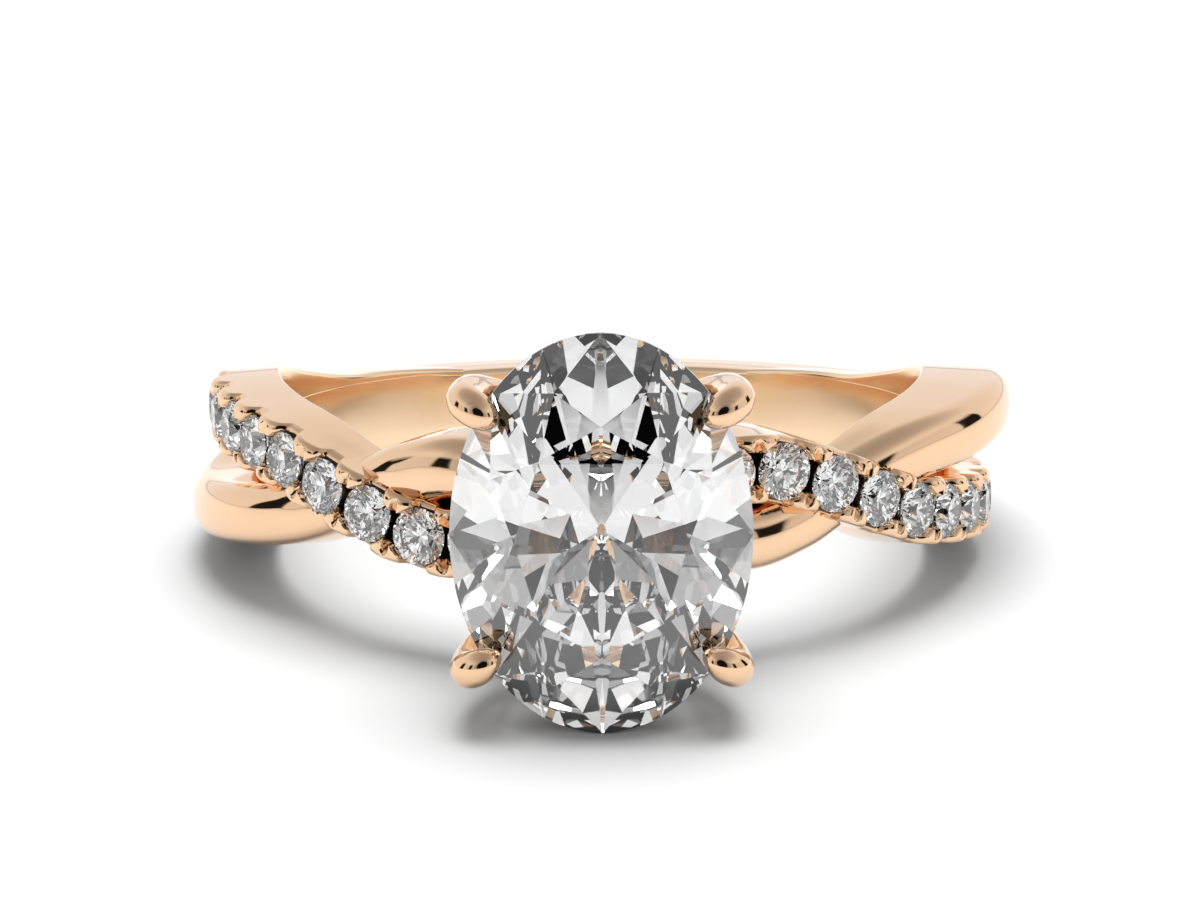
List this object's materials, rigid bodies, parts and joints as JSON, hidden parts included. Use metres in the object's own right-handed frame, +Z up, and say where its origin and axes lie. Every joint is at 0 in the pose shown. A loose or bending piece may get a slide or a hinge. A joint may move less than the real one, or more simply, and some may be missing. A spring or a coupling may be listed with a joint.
{
  "type": "crossover engagement ring",
  "caption": "Finger ring with an oval faceted stone in four claws over two crossing strands, one plain and one set with small round stones.",
  "frame": {"origin": "on the surface the ring lies on, under the middle of its bounding box", "axes": "+Z up from that surface, -Y towards the head with the oval stone, +X to the right seen from the head"},
  "size_m": [0.0222, 0.0254, 0.0095],
  "materials": {
    "rose_gold": "polished",
    "oval_stone": "polished facets",
    "small_stones": "polished facets"
  },
  "bodies": {
    "root": {"ring_body": "rose_gold", "center_stone": "oval_stone", "left_stone_1": "small_stones", "left_stone_2": "small_stones", "left_stone_3": "small_stones", "left_stone_4": "small_stones", "left_stone_5": "small_stones", "left_stone_6": "small_stones", "left_stone_7": "small_stones", "left_stone_8": "small_stones", "left_stone_9": "small_stones", "right_stone_1": "small_stones", "right_stone_2": "small_stones", "right_stone_3": "small_stones", "right_stone_4": "small_stones", "right_stone_5": "small_stones", "right_stone_6": "small_stones", "right_stone_7": "small_stones", "right_stone_8": "small_stones", "right_stone_9": "small_stones"}
  },
  "joints": []
}
